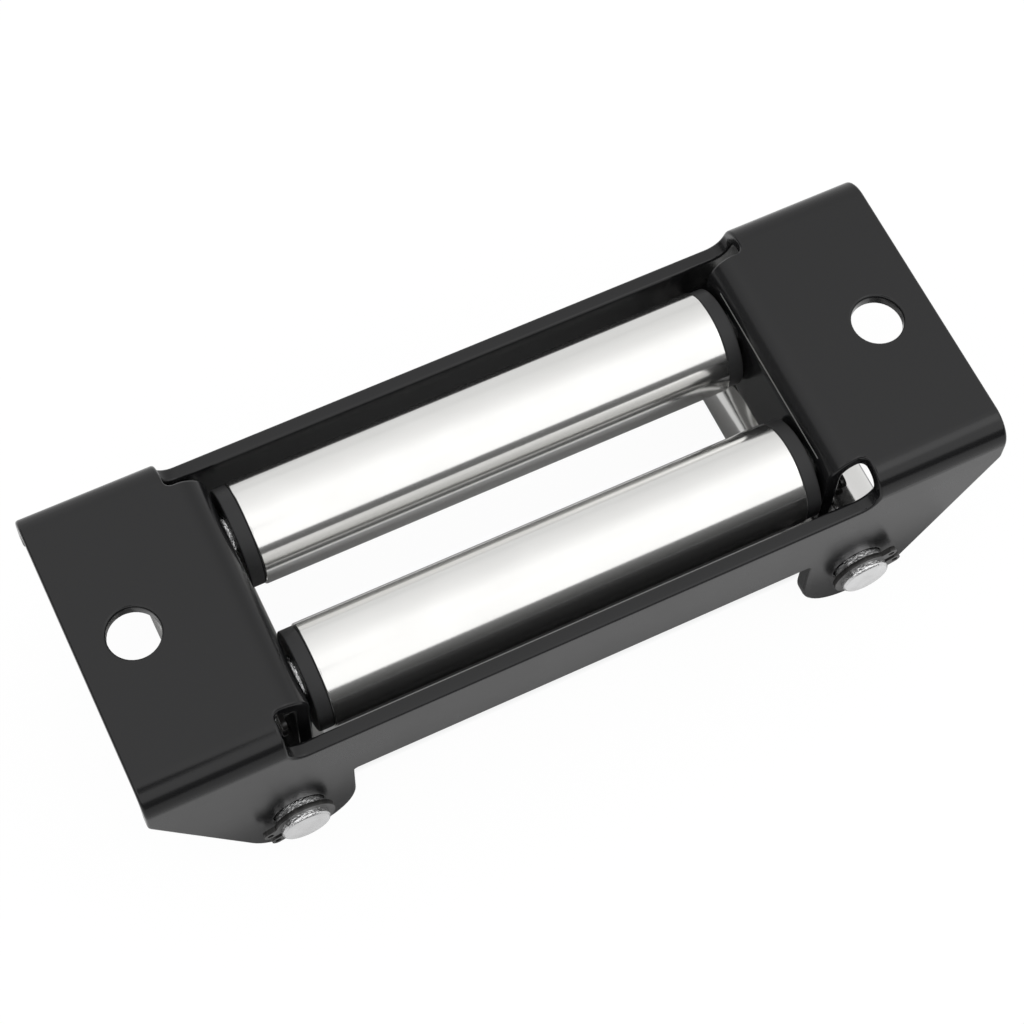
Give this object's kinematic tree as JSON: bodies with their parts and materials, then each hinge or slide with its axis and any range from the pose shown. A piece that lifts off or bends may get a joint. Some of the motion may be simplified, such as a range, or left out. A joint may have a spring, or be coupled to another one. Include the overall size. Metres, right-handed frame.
{
  "type": "roller fairlead",
  "caption": "Low roller fairlead: a folded sheet frame with a bolt hole in each end plate and an oblong window crossed by rollers that turn on clipped pins.",
  "frame": {"origin": "on the mounting face, midway between the two bolt holes", "axes": "+X along the long rollers, +Y across them, +Z out of the mounting face, with the rollers below it"},
  "size_m": [0.1422, 0.0578, 0.0383],
  "materials": {
    "frame_coat": "satin black powder coat",
    "zinc_tube": "bright zinc plate, drawn tube",
    "zinc_pin": "bright zinc plate",
    "bush_plastic": "moulded black nylon",
    "clip_steel": "oiled black spring steel"
  },
  "bodies": {
    "frame_body": {"frame": "frame_coat", "pin_long_near": "zinc_pin", "pin_long_far": "zinc_pin", "pin_short_left": "zinc_pin", "pin_short_right": "zinc_pin", "clip_long_near_left": "clip_steel", "clip_long_near_right": "clip_steel", "clip_long_far_left": "clip_steel", "clip_long_far_right": "clip_steel", "clip_short_left_near": "clip_steel", "clip_short_left_far": "clip_steel", "clip_short_right_near": "clip_steel", "clip_short_right_far": "clip_steel"},
    "long_roller_near": {"roller_long_near": "zinc_tube", "bush_long_near_left": "bush_plastic", "bush_long_near_right": "bush_plastic"},
    "long_roller_far": {"roller_long_far": "zinc_tube", "bush_long_far_left": "bush_plastic", "bush_long_far_right": "bush_plastic"},
    "short_roller_left": {"roller_short_left": "zinc_tube", "bush_short_left_near": "bush_plastic", "bush_short_left_far": "bush_plastic"},
    "short_roller_right": {"roller_short_right": "zinc_tube", "bush_short_right_near": "bush_plastic", "bush_short_right_far": "bush_plastic"}
  },
  "joints": [
    {"name": "long_roller_near_spin", "type": "hinge", "parent": "frame_body", "child": "long_roller_near", "pos_m": [0, -0.01285, -0.0112], "axis": [1, 0, 0], "continuous": true},
    {"name": "long_roller_far_spin", "type": "hinge", "parent": "frame_body", "child": "long_roller_far", "pos_m": [0, 0.01285, -0.0112], "axis": [1, 0, 0], "continuous": true},
    {"name": "short_roller_left_spin", "type": "hinge", "parent": "frame_body", "child": "short_roller_left", "pos_m": [-0.0485, 0, -0.02724], "axis": [0, 1, 0], "continuous": true},
    {"name": "short_roller_right_spin", "type": "hinge", "parent": "frame_body", "child": "short_roller_right", "pos_m": [0.0485, 0, -0.02724], "axis": [0, 1, 0], "continuous": true}
  ]
}
